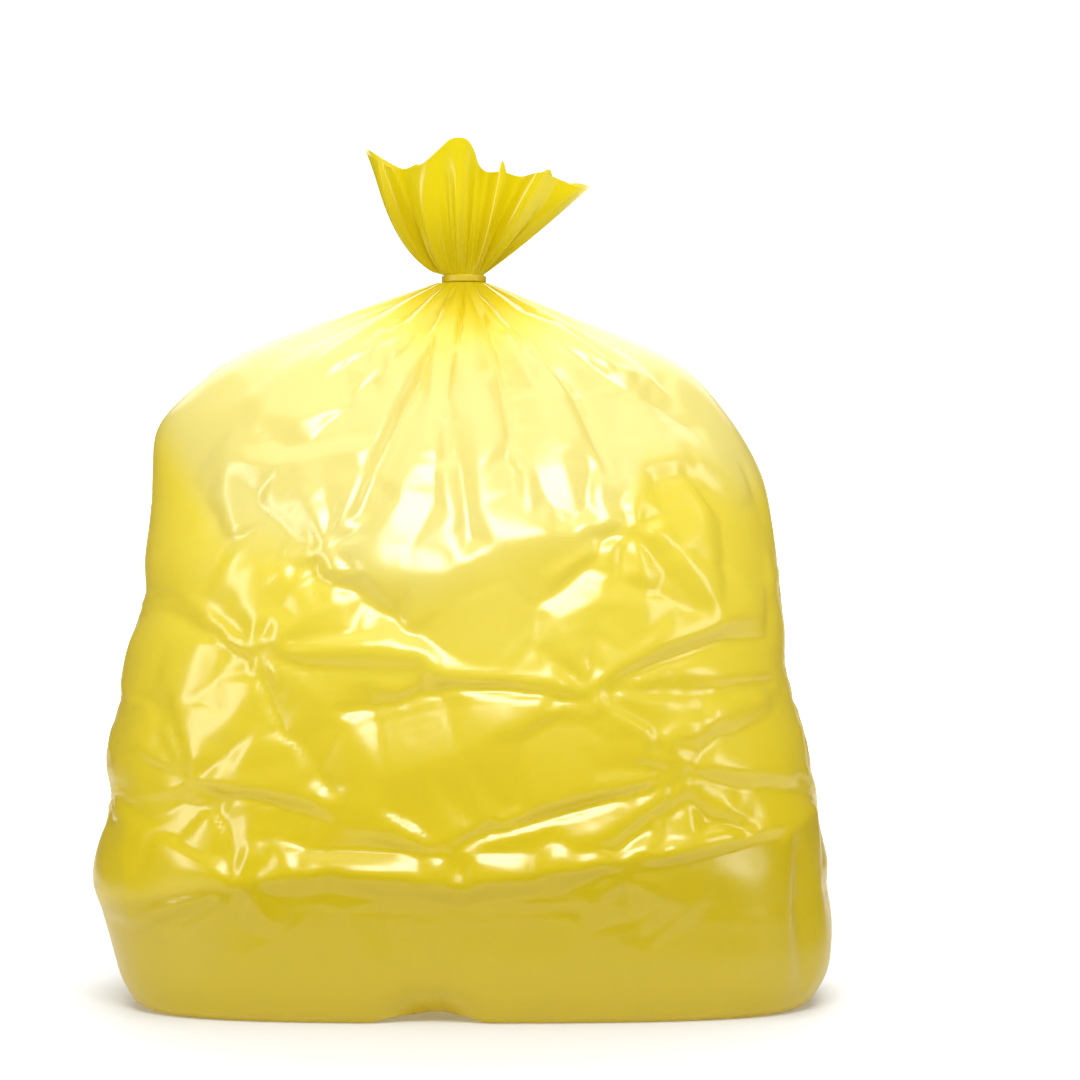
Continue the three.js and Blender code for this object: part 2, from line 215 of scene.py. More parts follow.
# Where the film is pinched, small folds fan out. Each fan has its middle and then its folds' far ends, in
# the photograph's pixels. The folds stand out and lie in by turns. FAN_MIDDLE and FAN_HEIGHT are in
# millimetres. FAN_POINTS has how far along a fold its two inner points are, and their shares of the
# height.
FANS = [
    [(250, 650), (205, 597), (172, 632), (190, 700), (262, 712), (300, 762), (345, 720), (398, 692),
     (420, 662), (410, 628), (338, 602), (300, 574), (262, 590)],
    [(595, 690), (520, 742), (470, 706), (446, 690), (446, 660), (520, 636), (548, 606), (600, 600),
     (655, 630), (730, 628), (772, 648), (770, 690), (706, 716), (676, 740), (634, 740), (575, 745)],
    [(683, 768), (600, 772), (618, 745), (650, 728), (716, 728), (768, 708), (800, 760), (800, 800),
     (756, 822), (724, 812), (700, 842), (650, 838), (618, 846), (606, 806)],
    [(190, 782), (168, 690), (146, 706), (128, 748), (124, 800), (150, 838), (222, 834), (262, 806),
     (262, 770), (248, 738), (212, 706)],
    [(240, 883), (190, 842), (140, 872), (134, 912), (180, 936), (230, 958), (290, 952), (340, 906),
     (330, 874), (280, 852), (246, 838)],
    [(450, 852), (386, 812), (340, 826), (332, 862), (400, 890), (470, 896), (560, 882), (600, 848),
     (590, 812), (520, 806), (470, 822)],
    [(619, 868), (560, 888), (590, 930), (650, 952), (706, 920), (760, 872), (764, 836), (700, 836),
     (650, 842)],
    [(635, 530), (570, 536), (552, 578), (596, 606), (650, 606), (706, 604), (716, 566), (690, 508),
     (650, 476), (618, 490)],
    [(328, 550), (262, 500), (290, 470), (322, 468), (352, 470), (392, 500), (410, 548), (388, 600),
     (330, 596), (280, 566)],
    [(374, 322), (332, 350), (346, 366), (368, 372), (388, 366), (404, 350), (414, 328), (350, 320)],
]
FAN_MIDDLE = 0.8
FAN_HEIGHT = 3.0
FAN_POINTS = ((0.25, 1.0), (0.6, 0.7))

# The folds of the sides and the back, which the photograph doesn't show. Each point has its plan angle in
# degrees, its height in millimetres, and how far it stands out, also in millimetres.
BACK_FOLDS = [
    [(-16, 96, 2), (-2, 104, 5), (12, 96, 3)],
    [(-14, 84, -2), (0, 88, -5), (12, 82, -2)],
    [(-18, 168, 2), (-4, 152, 5), (6, 128, 4)],
    [(-18, 152, -2), (-6, 138, -5), (6, 112, -3)],
    [(-16, 238, 2), (-2, 228, 5), (8, 214, 3)],
    [(-16, 224, -2), (-3, 212, -5), (8, 198, -3)],
    [(-14, 306, 2), (-2, 312, 5), (10, 290, 3)],
    [(-14, 292, -2), (-2, 296, -5), (10, 276, -3)],
    [(0, 104, 3), (3, 130, 4), (-4, 152, 3)],
    [(-2, 228, 3), (5, 268, 4), (-2, 312, 3)],
    [(168, 70, 3), (180, 88, 5), (194, 84, 2)],
    [(168, 58, -2), (180, 74, -5), (194, 70, -2)],
    [(168, 150, 3), (182, 136, 5), (196, 150, 2)],
    [(168, 134, -2), (182, 120, -5), (196, 134, -2)],
    [(172, 210, 3), (184, 232, 5), (196, 222, 2)],
    [(172, 194, -2), (184, 216, -5), (196, 206, -2)],
    [(170, 296, 3), (182, 286, 5), (196, 300, 2)],
    [(170, 280, -2), (182, 270, -5), (196, 284, -2)],
    [(180, 88, 3), (176, 112, 4), (182, 136, 3)],
    [(184, 232, 3), (178, 258, 4), (182, 286, 3)],
    [(12, 70, 3), (28, 82, 6), (48, 66, 3)],
    [(14, 56, -2), (30, 66, -5), (46, 52, -3)],
    [(48, 66, 3), (70, 92, 6), (98, 84, 5), (118, 62, 3)],
    [(55, 58, -3), (76, 72, -5), (100, 66, -4)],
    [(118, 62, 3), (140, 90, 6), (166, 78, 4)],
    [(122, 52, -3), (142, 74, -5), (166, 62, -3)],
    [(6, 128, 4), (26, 150, 6), (44, 140, 4)],
    [(10, 112, -4), (28, 130, -5), (44, 124, -3)],
    [(44, 140, 4), (66, 150, 6), (88, 176, 5), (108, 182, 3)],
    [(50, 124, -3), (70, 134, -5), (92, 158, -4)],
    [(88, 176, 4), (92, 130, 5), (98, 84, 3)],
    [(44, 140, 4), (52, 100, 5), (48, 66, 3)],
    [(66, 150, 3), (62, 176, 4), (58, 204, 4)],
    [(108, 182, 3), (130, 150, 6), (156, 146, 5), (176, 160, 3)],
    [(112, 162, -3), (132, 134, -6), (158, 128, -4)],
    [(130, 150, 4), (134, 120, 5), (140, 90, 4)],
    [(8, 214, 3), (30, 222, 6), (58, 204, 5)],
    [(12, 198, -3), (32, 206, -5), (58, 188, -4)],
    [(58, 204, 4), (80, 236, 6), (104, 240, 4)],
    [(62, 188, -3), (84, 218, -4), (104, 224, -3)],
    [(104, 240, 4), (128, 218, 6), (150, 226, 5), (172, 210, 3)],
    [(108, 222, -3), (130, 200, -5), (152, 208, -4)],
    [(104, 240, 3), (106, 212, 4), (108, 182, 3)],
    [(10, 290, 3), (34, 280, 5), (62, 296, 5), (78, 288, 3)],
    [(14, 272, -3), (36, 264, -5), (62, 278, -4)],
    [(34, 280, 3), (31, 250, 4), (30, 222, 4)],
    [(78, 288, 4), (104, 304, 6), (132, 286, 4)],
    [(82, 272, -3), (104, 286, -5), (130, 268, -3)],
    [(78, 288, 3), (80, 262, 4), (80, 236, 4)],
    [(132, 286, 4), (152, 306, 6), (172, 296, 3)],
    [(132, 286, 4), (129, 252, 5), (128, 218, 4)],
    [(20, 345, 3), (50, 360, 4), (80, 340, 3), (112, 362, 4), (150, 350, 3)],
    [(24, 328, -3), (54, 340, -4), (84, 322, -3), (114, 344, -4), (148, 332, -3)],
]

# The middles of the fans of small folds on the sides and the back: plan angle in degrees, and height in
# millimetres. BACK_FAN_REACH is in columns and rows of the net.
BACK_FANS = [(66, 150), (128, 218), (104, 300), (34, 220), (150, 146), (44, 292), (92, 92), (156, 296),
             (22, 140), (-4, 200), (186, 176), (80, 228), (112, 170)]
BACK_FAN_RAYS = 10
BACK_FAN_REACH = 13
BACK_FAN_REACHES = (0.7, 1.4)
BACK_FAN_POINTS = ((0.3, 1.0), (0.7, 0.5))
BACK_FAN_SEED = 8

# The gathers below the neck. Heights are in millimetres, and lengths are shares of the body's rows.
GATHERS = 34
GATHER_HEIGHT = 4.5
GATHER_HEIGHTS = (0.6, 1.2)
GATHER_LENGTHS = (0.12, 0.38)
GATHER_LEANS = (-0.25, 0.25)
GATHER_POINTS = 7
GATHER_SWELL = 1.3
GATHER_TOP_ROWS = 5
GATHER_SEED = 3

# How far a fan's folds and the gathers may be off their even spacing, in shares of it
UNEVEN = (-0.3, 0.3)

# How the folds are laid on the body: the length between a front fold's points, the share of their heights
# that is used, how often the facets are blended, how many columns beyond its seam the net is drawn, the
# columns between its border's points, and the share of the height that is left where the film is seen
# edge on. Points nearer than SAME_PLACE columns are one. Where two folds cross, the height is the mean of
# the NEAREST points'.
FOLD_STEP = 0.012
FOLD_GAIN = 0.8
FOLD_SOFTNESS = 1
SEAM_MARGIN = 80
BORDER_STEP = 10
OUTLINE_SHARE = 0.45
SAME_PLACE = 0.01
NEAREST = 4
LEAST_AREA = 1e-9
ON_EDGE = 1e-6

# How the film settles: its slack over the shaped body, how hard it holds its shape, how stiff it is, how
# far the air pushes it out at each step, how hard it pulls across its squares, and its unevenness at the
# start
SETTLE_STEPS = 260
SLACK = 0.012
HOLD = 0.01
STIFFNESS = 0.01
PUFF = 0.00002
CROSS_PULL = 0.6
START_NOISE = 0.0015
START_SOFTNESS = 6
START_SEED = 11

# How far the film's colour is painted pale, from 0 to 1. This is painted light: the colour is deep near the
# floor as painted shade, grows paler upwards as painted light from above, and is palest over the empty top
# as a painted glow and sheen of light through the film. Below the fill line it is deeper partly because the
# filling shows through. It turns pale in two steps: at a low line, over which it is paler, and at the line
# that the bag is filled to, over which it is palest. Both lines are in the photograph's pixels on the front,
# and at a height on the back, where they wave a little. Their blurs are in pixels too. A painted pale glow
# lies on the middle of the front below the fill line. The film is deep in colour at the neck and above it.
LOW_ACROSS = [95, 235, 330, 460, 613, 787, 830]
LOW_DOWN = [905, 884, 872, 885, 863, 838, 800]
LOW_BACK = 0.085
LOW_BLUR = 14
LOW_PAINTED_LIGHT = 0.2
MID_PAINTED_LIGHT = 0.6
MID_HEAD = 0.33
FILL_ACROSS = [140, 165, 232, 315, 344, 430, 480, 532, 601, 626, 645, 690, 745, 775]
FILL_DOWN = [420, 436, 541, 551, 577, 582, 553, 538, 530, 515, 468, 460, 494, 470]
FILL_BACK = 0.335
FILL_BLUR = 80
# A painted pale glow on the middle of the front: its middle and half sizes in pixels, its edge and its share.
PAINTED_GLOW_PATCH_PX = (470, 615)
PAINTED_GLOW_PATCH_HALF_PX = (150, 75)
PAINTED_GLOW_PATCH_EDGE = 1.4
PAINTED_GLOW_PATCH = 0.3
BACK_WAVE = 0.02
BACK_RIPPLE = 0.012
FRONT_FROM, FRONT_TO = -0.03, 0.05
NECK_DEEP, NECK_PALE = 0.02, 0.11

# The film's look: its colours from deep to pale, the paler ones painted light (a painted glow and sheen over
# the empty top), the light that shines through it, its gloss and its crinkles
FILM_COLOURS_WITH_PAINTED_LIGHT = [(0.0, (0.52, 0.43, 0.001)), (0.25, (0.72, 0.595, 0.006)), (0.6, (0.88, 0.78, 0.08)),
                (1.0, (0.83, 0.80, 0.29))]
SHINE_THROUGH_COLOUR = (0.85, 0.71, 0.002)
SHINE_THROUGH = 0.48
FILM_ROUGHNESS = 0.4
FILM_SPECULAR = 0.25
COAT_IOR = 1.75
COAT_ROUGHNESS = 0.24
CRINKLE_SCALE = 60
CRINKLE_DETAIL = 4
CRINKLE_STRENGTH = 0.12
CRINKLE_DEPTH = 0.002

TIE_COLOUR = (0.52, 0.38, 0.004)
TIE_ROUGHNESS = 0.4

# The arch in the front edge of the base
ARCH_X = -0.021
ARCH_HALF = 0.042
ARCH_RISE = 0.011
ARCH_FRONT = -0.165
ARCH_RUN = 0.12

# The ruffle's rim, round the neck from the right by way of the back: millimetres from the neck's axis to
# the right and to the back, and the height above the floor.
RIM = [
    (93, -3, 596), (86, 8, 600), (68, 12, 602), (63, 22, 612), (50, 26, 606), (40, 34, 603), (33, 26, 606),
    (28, 34, 620), (23, 30, 606), (13, 40, 603), (2, 30, 600), (-12, 40, 606), (-26, 32, 609), (-35, 40, 618),
    (-46, 26, 613), (-60, 18, 619), (-71, 9, 625), (-72, -5, 621), (-62, -20, 613), (-50, -13, 608),
    (-38, -24, 607), (-27, -34, 612), (-16, -40, 621), (-8, -43, 627), (2, -43, 627), (8, -39, 620),
    (12, -32, 609), (18, -24, 605), (29, -34, 604), (42, -21, 602), (57, -30, 604), (71, -18, 600),
    (86, -15, 594),
]

# How the ruffle flares from the neck to the rim, and its pleats: their number round the neck, how far
# they stand out, and how uneven they are
FLARE_MEAN = 0.78
FLARE_LEAN = 0.27
RUFFLE_CLEARANCE = 0.0004
BROAD_PLEATS = 11
BROAD_HEIGHT = 0.0035
BROAD_UNEVEN = 1.6
FINE_PLEATS = 29
FINE_HEIGHT = 0.0014
FINE_UNEVEN = 2.5


def smoothstep(x, low=0.0, high=1.0):
    """0 at low and beyond it, 1 at high and beyond it, with a smooth change between them."""
    t = np.clip((x - low) / (high - low), 0, 1)
    return t * t * (3 - 2 * t)


def unit(vectors):
    """The vectors at length 1."""
    return vectors / np.maximum(np.linalg.norm(vectors, axis=-1, keepdims=True), 1e-9)


def ring_angles(tree):
    """Plan angles that space the columns evenly along the bag's girth."""
    fine = np.linspace(0, 2 * math.pi, RING_STEPS)
    ring = np.array([radius_at(tree, a, RING_HEIGHT) * np.array([math.cos(a), math.sin(a)]) for a in fine])
    run = np.concatenate([[0], np.cumsum(np.linalg.norm(np.diff(ring, axis=0), axis=1))])
    return np.interp(np.arange(COLUMNS) / COLUMNS * run[-1], run, fine)


def radius_at(tree, angle, z):
    """How far the CAD solid reaches from its axis at a plan angle and a height."""
    away = Vector((math.cos(angle), math.sin(angle), 0))
    hit = tree.ray_cast(Vector((0, 0, z)) + away, -away)
    return hit[0].xy.length if hit[0] is not None else NECK_RADIUS


def body_net():
    """The smooth body: rows of points from the base's edge up to the neck. Also the angles of its columns."""
    tree = BVHTree.FromObject(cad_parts["bag"], bpy.context.evaluated_depsgraph_get())
    angles = ring_angles(tree)
    levels = np.concatenate([[LOWEST_LEVEL], np.linspace(SECOND_LEVEL, tie_low.z - TIE_CLEARANCE, LEVELS)])
    reach = np.array([[radius_at(tree, a, z) for a in angles] for z in levels])
    reach = smooth_net(reach, BODY_SOFTNESS)
    mean = reach.mean(axis=1)
    run = np.concatenate([[0], np.cumsum(np.hypot(np.diff(mean), np.diff(levels)))])
    steps = np.linspace(0, run[-1], BODY_ROWS)
    heights = np.interp(steps, run, levels)
    upright = FRONT_FOOT_REACH * np.clip(1 - levels / FRONT_FOOT_HEIGHT, 0, 1)
    shoulder = SHOULDER_REACH * np.exp(-((levels - SHOULDER_Z) / SHOULDER_HALF) ** 2)
    reach *= 1 + shoulder[:, None] + upright[:, None] * np.sin(angles) ** 2
    net = np.empty((BODY_ROWS, COLUMNS, 3))
    for j in range(COLUMNS):
        r = np.interp(steps, run, reach[:, j])
        net[:, j, 0] = r * math.cos(angles[j])
        net[:, j, 1] = r * math.sin(angles[j])
    net[:, :, 2] = heights[:, None]
    net[:, :, 0] *= 1 - SIDE_TRIM * smoothstep(net[:, :, 2], *SIDE_TRIM_HEIGHTS)
    left = net[:, :, 0] < 0
    net[:, :, 0] *= 1 - LEFT_FOOT_TRIM * smoothstep(net[:, :, 2], *LEFT_FOOT_HEIGHTS) * left
    return net, angles


def smooth_net(values, passes):
    """Blends each value of a net with its neighbours'. The net's columns close on themselves."""
    for _ in range(passes):
        values = (np.roll(values, 1, axis=1) + 2 * values + np.roll(values, -1, axis=1)) / 4
        values[1:-1] = (values[:-2] + 2 * values[1:-1] + values[2:]) / 4
    return values


def normals(net):
    """Outward normals of a net whose columns close on themselves."""
    along = np.roll(net, -1, axis=1) - np.roll(net, 1, axis=1)
    up = np.gradient(net, axis=0)
    return unit(np.cross(along, up))


def net_faces(net):
    """The faces of a net whose columns close on themselves."""
    rows, columns = net.shape[:2]
    corner = np.arange(rows * columns).reshape(rows, columns)
    right = np.roll(corner, -1, axis=1)
    return np.stack([corner[:-1], right[:-1], right[1:], corner[1:]], axis=-1).reshape(-1, 4).tolist()


def seen_point(tree, across, down):
    """The point of the film that the photograph shows at one of its pixels."""
    eye = Vector((CAMERA_X, -CAMERA_DISTANCE, CAMERA_Z))
    aim = Vector(((across - BAG_MIDDLE_PX) * PIXEL, 0, (FLOOR_PX - down) * PIXEL))
    found = tree.ray_cast(eye, (aim - eye).normalized())[0]
    if found is None:
        found = tree.find_nearest(aim)[0]
    return np.array(found)


def net_places(body, angles, points):
    """Columns and rows of the body's net, with fractions, at which points on the body lie."""
    turns = np.arctan2(points[:, 1], points[:, 0]) % (2 * math.pi)
    columns = np.interp(turns, np.append(angles, 2 * math.pi), np.arange(COLUMNS + 1))
    return columns, np.interp(points[:, 2], body[:, 0, 2], np.arange(BODY_ROWS))


def front_fold(tree, body, angles, fold):
    """A fold of the photograph as points in the body's net: column, row, and height in metres."""
    corners = [np.array(point, float) for point in fold]
    points = []
    for a, b in zip(corners, corners[1:]):
        steps = max(1, int(np.linalg.norm((b - a)[:2]) * PIXEL / FOLD_STEP))
        points += [a + (b - a) * k / steps for k in range(steps)]
    points = np.array(points + [corners[-1]])
    seen = np.array([seen_point(tree, across, down) for across, down, _ in points])
    return np.stack([*net_places(body, angles, seen), points[:, 2] / 1000], axis=1)


def back_fold(body, angles, fold):
    """A fold of the sides or the back as points in the body's net: column, row, and height in metres."""
    points = np.array(fold, float)
    turned = np.concatenate([angles - 2 * math.pi, angles])
    columns = np.interp(np.radians(points[:, 0]), turned, np.arange(-COLUMNS, COLUMNS))
    rows = np.interp(points[:, 1] / 1000, body[:, 0, 2], np.arange(BODY_ROWS))
    return np.stack([columns, rows, points[:, 2] / 1000], axis=1)


def pull_pairs(a, b, length, share):
    """Moves two rows of points towards being the given length apart."""
    gap = b - a
    far = np.sqrt(np.einsum("...k,...k", gap, gap))[..., None]
    push = (0.5 * share) * (far - length[..., None]) / np.maximum(far, 1e-9) * gap
    return a + push, b - push


def spans(net):
    """How far apart neighbours are in a net: along its rows, up its columns, and both ways across."""
    right = np.roll(net, -1, axis=1)
    return [np.linalg.norm(b - a, axis=2) for a, b in (
        (net, right), (net[:-1], net[1:]), (net[:-1], right[1:]), (right[:-1], net[1:]))]


def settled(net):
    """The film after it has crumpled into the room that its slack gives it."""
    along, up, rise, fall = [span * (1 + SLACK) for span in spans(net)]
    aim = net.copy()
    noise = np.random.default_rng(START_SEED).normal(size=net.shape[:2])
    net = net + normals(net) * smooth_net(noise, START_SOFTNESS)[:, :, None] * START_NOISE
    for _ in range(SETTLE_STEPS):
        net[1:-1] += HOLD * (aim[1:-1] - net[1:-1])
        net[1:-1] += PUFF * normals(net)[1:-1]
        middle = (np.roll(net, 1, axis=1) + np.roll(net, -1, axis=1))[1:-1] / 4 + (net[:-2] + net[2:]) / 4
        net[1:-1] += STIFFNESS * (middle - net[1:-1])
        for start in (0, 1):
            turned = np.roll(net, -start, axis=1)
            a, b = pull_pairs(turned[:, 0::2], turned[:, 1::2], np.roll(along, -start, axis=1)[:, 0::2], 1)
            turned[:, 0::2], turned[:, 1::2] = a, b
            net = np.roll(turned, start, axis=1)
        for start in (0, 1):
            a, b = net[start:-1:2], net[start + 1::2]
            a, b = a[: len(b)], b[: len(a)]
            low, high = pull_pairs(a, b, up[start::2][: len(a)], 1)
            net[start:-1:2][: len(a)] = low
            net[start + 1::2][: len(a)] = high
            below, above = net[start:-1:2][: len(a)], np.roll(net[start + 1::2][: len(a)], -1, axis=1)
            low, high = pull_pairs(below, above, rise[start::2][: len(a)], CROSS_PULL)
            net[start:-1:2][: len(a)] = low
            net[start + 1::2][: len(a)] = np.roll(high, 1, axis=1)
            below, above = np.roll(net[start:-1:2][: len(a)], -1, axis=1), net[start + 1::2][: len(a)]
            low, high = pull_pairs(below, above, fall[start::2][: len(a)], CROSS_PULL)
            net[start:-1:2][: len(a)] = np.roll(low, 1, axis=1)
            net[start + 1::2][: len(a)] = high
        net[0], net[-1] = aim[0], aim[-1]
    return net


def closed_curve(points, shares):
    """Places along a smooth closed curve through the points, at shares of the way round."""
    points = np.array(points, float)
    count = len(points)
    place = shares * count
    start = np.floor(place).astype(int)
    t = (place - start)[:, None]
    p0, p1, p2, p3 = (points[(start + k) % count] for k in (-1, 0, 1, 2))
    return 0.5 * (2 * p1 + (p2 - p0) * t + (2 * p0 - 5 * p1 + 4 * p2 - p3) * t ** 2
                  + (3 * p1 - p0 - 3 * p2 + p3) * t ** 3)


def ruffle_net(angles):
    """The film above the tie, flaring from the neck into petals."""
    rim = closed_curve(RIM, angles / (2 * math.pi)) / 1000
    foot = np.stack([NECK_RADIUS * np.cos(angles), NECK_RADIUS * np.sin(angles),
                     np.full(len(angles), tie_high.z + RUFFLE_CLEARANCE)], axis=1)
    power = FLARE_MEAN + FLARE_LEAN * np.cos(angles)
    broad_pleats = np.cos(BROAD_PLEATS * angles + BROAD_UNEVEN * np.sin(2 * angles))
    fine_pleats = np.cos(FINE_PLEATS * angles + FINE_UNEVEN * np.sin(3 * angles + 1))
    rows = []
    for share in np.linspace(0, 1, RUFFLE_ROWS):
        out = (share ** power)[:, None]
        row = foot + (rim - foot) * out
        row[:, 2] = foot[:, 2] + (rim[:, 2] - foot[:, 2]) * share
        broad = BROAD_HEIGHT * math.sin(math.pi * share) * broad_pleats
        fine = FINE_HEIGHT * math.sin(math.pi * share ** 0.5) ** 2 * fine_pleats
        row[:, 0] += (broad + fine) * np.cos(angles)
        row[:, 1] += (broad + fine) * np.sin(angles)
        rows.append(row)
    return np.array(rows)


def fan_folds():
    """The small folds of the fans, as runs of the photograph's pixels like those of the listed folds."""
    made = []
    for middle, *ends in FANS:
        for k, end in enumerate(ends):
            height = FAN_HEIGHT * (1 if k % 2 else -1)
            away = (end[0] - middle[0], end[1] - middle[1])
            inner = [(middle[0] + away[0] * share, middle[1] + away[1] * share, height * part)
                     for share, part in FAN_POINTS]
            made.append([(*middle, FAN_MIDDLE), *inner, (*end, 0.0)])
    return made


def back_fan_folds(body, angles):
    """The small folds of the fans on the sides and the back, as points in the body's net."""
    rng = np.random.default_rng(BACK_FAN_SEED)
    made = []
    for middle in BACK_FANS:
        column, row = back_fold(body, angles, [(*middle, 0)])[0][:2]
        for k in range(BACK_FAN_RAYS):
            way = 2 * math.pi * (k + rng.uniform(*UNEVEN)) / BACK_FAN_RAYS
            reach = BACK_FAN_REACH * rng.uniform(*BACK_FAN_REACHES)
            height = FAN_HEIGHT * (1 if k % 2 else -1)
            inner = [(share, height * part) for share, part in BACK_FAN_POINTS]
            made.append(np.array([
                (column + reach * share * math.cos(way), row + reach * share * math.sin(way), high / 1000)
                for share, high in ((0, FAN_MIDDLE), *inner, (1, 0))]))
    return made


def gather_folds():
    """Ridges and creases that run down from the neck, by turns, as points in the body's net."""
    rng = np.random.default_rng(GATHER_SEED)
    made = []
    for k in range(GATHERS):
        column = (k + rng.uniform(*UNEVEN)) / GATHERS * COLUMNS
        length = rng.uniform(*GATHER_LENGTHS) * BODY_ROWS
        lean = rng.uniform(*GATHER_LEANS)
        height = GATHER_HEIGHT * (1 if k % 2 else -1) * rng.uniform(*GATHER_HEIGHTS) / 1000
        shares = np.linspace(0, 1, GATHER_POINTS)
        swell = (0.5 + 0.5 * np.sin(np.pi * np.minimum(GATHER_SWELL * shares, 1))) * (1 - shares ** 3)
        rows = BODY_ROWS - GATHER_TOP_ROWS - length * shares
        made.append(np.stack([column + lean * length * shares, rows, height * swell], axis=1))
    return made


def seen_pixels(net):
    """Where the photograph shows each point of a net, in its pixels."""
    depth = CAMERA_DISTANCE / (net[:, :, 1] + CAMERA_DISTANCE)
    across = MIDDLE_PX + (net[:, :, 0] - CAMERA_X) * depth / PIXEL
    down = MIDDLE_PX - (net[:, :, 2] - CAMERA_Z) * depth / PIXEL
    return across, down


def fill_and_painted_light(net):
    """Painted light in the film: shade near the floor, paler over the filling, glow over the empty top."""
    across, down = seen_pixels(net)
    angle = np.arctan2(net[:, :, 1], net[:, :, 0])
    forward = smoothstep(-net[:, :, 1], FRONT_FROM, FRONT_TO)
    wave = BACK_WAVE * np.sin(3 * angle + 1) + BACK_RIPPLE * np.sin(7 * angle)

    def above(line_across, line_down, blur, line_back):
        """0 below a line and 1 above it. The line has pixels on the front and a height on the back."""
        front = smoothstep((np.interp(across, line_across, line_down) - down) / blur, -0.5, 0.5)
        back = smoothstep((net[:, :, 2] - line_back - wave) / (blur * PIXEL), -1, 1)
        return back + (front - back) * forward

    # Painted light from above: over the low line the colour grows paler with height.
    rise = np.interp(net[:, :, 2], (LOW_BACK, MID_HEAD), (LOW_PAINTED_LIGHT, MID_PAINTED_LIGHT))
    fill_and_painted_share = rise * above(LOW_ACROSS, LOW_DOWN, LOW_BLUR, LOW_BACK)
    # Painted glow and sheen of light through the empty top, over the fill line.
    fill_and_painted_share += (1 - fill_and_painted_share) * above(FILL_ACROSS, FILL_DOWN, FILL_BLUR, FILL_BACK)
    # A painted pale glow on the middle of the front.
    off = np.hypot((across - PAINTED_GLOW_PATCH_PX[0]) / PAINTED_GLOW_PATCH_HALF_PX[0], (down - PAINTED_GLOW_PATCH_PX[1]) / PAINTED_GLOW_PATCH_HALF_PX[1])
    fill_and_painted_share += PAINTED_GLOW_PATCH * (1 - fill_and_painted_share) * smoothstep(PAINTED_GLOW_PATCH_EDGE - off) * forward
    reach = np.hypot(net[:, :, 0], net[:, :, 1])
    return fill_and_painted_share * smoothstep(reach, NECK_DEEP, NECK_PALE) * (net[:, :, 2] < tie_low.z)


def paint(piece, name, values):
    """Stores a value at each point of a piece, for its material. The last point, under the base, has 0."""
    layer = piece.data.attributes.new(name, "FLOAT", "POINT")
    layer.data.foreach_set("value", np.concatenate([values.ravel(), [0.0]]).astype(np.float32))


def base_lift(x, y):
    """The arch in the base's front edge, which runs back under the bag."""
    side = smoothstep(1 - np.abs(x - ARCH_X) / ARCH_HALF)
    deep = smoothstep(1 - (y - ARCH_FRONT) / ARCH_RUN)
    return ARCH_RISE * side * deep


def turned_copies(folds):
    """The folds, with those near the net's seam once more beyond its other side."""
    made = list(folds)
    for fold in folds:
        for side in (-COLUMNS, COLUMNS):
            copy = fold + [side, 0, 0]
            if copy[:, 0].max() > -SEAM_MARGIN and copy[:, 0].min() < COLUMNS + SEAM_MARGIN:
                made.append(copy)
    return made


def facet_field(folds):
    """How far each point of the net moves out: flat facets, spanned between the folds and the net's edges."""
    points, edges = [], []
    for fold in turned_copies(folds):
        edges += [(len(points) + k, len(points) + k + 1) for k in range(len(fold) - 1)]
        points += fold.tolist()
    for row in (0, BODY_ROWS - 1):
        points += [(column, row, 0.0) for column in range(-SEAM_MARGIN, COLUMNS + SEAM_MARGIN, BORDER_STEP)]
    known = np.array(points)
    flat = [Vector(place) for place in known[:, :2]]
    corners, _, faces, sources, _, _ = delaunay_2d_cdt(flat, edges, [], 0, SAME_PLACE)
    places = np.array([list(corner) for corner in corners])
    heights = np.empty(len(places))
    for k, (place, source) in enumerate(zip(places, sources)):
        if source:
            heights[k] = known[source, 2].mean()
        else:
            near = np.argsort(np.hypot(*(known[:, :2] - place).T))[:NEAREST]
            heights[k] = known[near, 2].mean()
    field = np.zeros((BODY_ROWS, COLUMNS))
    for face in faces:
        a, b, c = places[face]
        area = (b[0] - a[0]) * (c[1] - a[1]) - (c[0] - a[0]) * (b[1] - a[1])
        low = np.maximum(np.ceil(np.minimum(np.minimum(a, b), c)).astype(int), 0)
        high = np.minimum(np.floor(np.maximum(np.maximum(a, b), c)).astype(int), (COLUMNS - 1, BODY_ROWS - 1))
        if abs(area) < LEAST_AREA or (low > high).any():
            continue
        x, y = np.meshgrid(np.arange(low[0], high[0] + 1), np.arange(low[1], high[1] + 1))
        to_b = ((x - a[0]) * (c[1] - a[1]) - (c[0] - a[0]) * (y - a[1])) / area
        to_c = ((b[0] - a[0]) * (y - a[1]) - (x - a[0]) * (b[1] - a[1])) / area
        inside = (to_b >= -ON_EDGE) & (to_c >= -ON_EDGE) & (to_b + to_c <= 1 + ON_EDGE)
        value = heights[face] @ np.stack([1 - to_b - to_c, to_b, to_c]).reshape(3, -1)
        field[y[inside], x[inside]] = value.reshape(x.shape)[inside]
    return smooth_net(field, FOLD_SOFTNESS)


def smooth_piece(name, points, faces):
    """A new piece of the scene with smooth shading."""
    mesh = bpy.data.meshes.new(name)
    mesh.from_pydata(points, [], faces)
    mesh.shade_smooth()
    piece = bpy.data.objects.new(name, mesh)
    bpy.context.scene.collection.objects.link(piece)
    return piece


def film_piece(name, net):
    """The film as one mesh over its net, with a last point that closes the middle of the base."""
    columns = net.shape[1]
    points = net.reshape(-1, 3)
    middle = len(points)
    points = np.vstack([points, [points[:columns].mean(axis=0)]])
    faces = net_faces(net) + [[middle, (k + 1) % columns, k] for k in range(columns)]
    return smooth_piece(name, points.tolist(), faces)


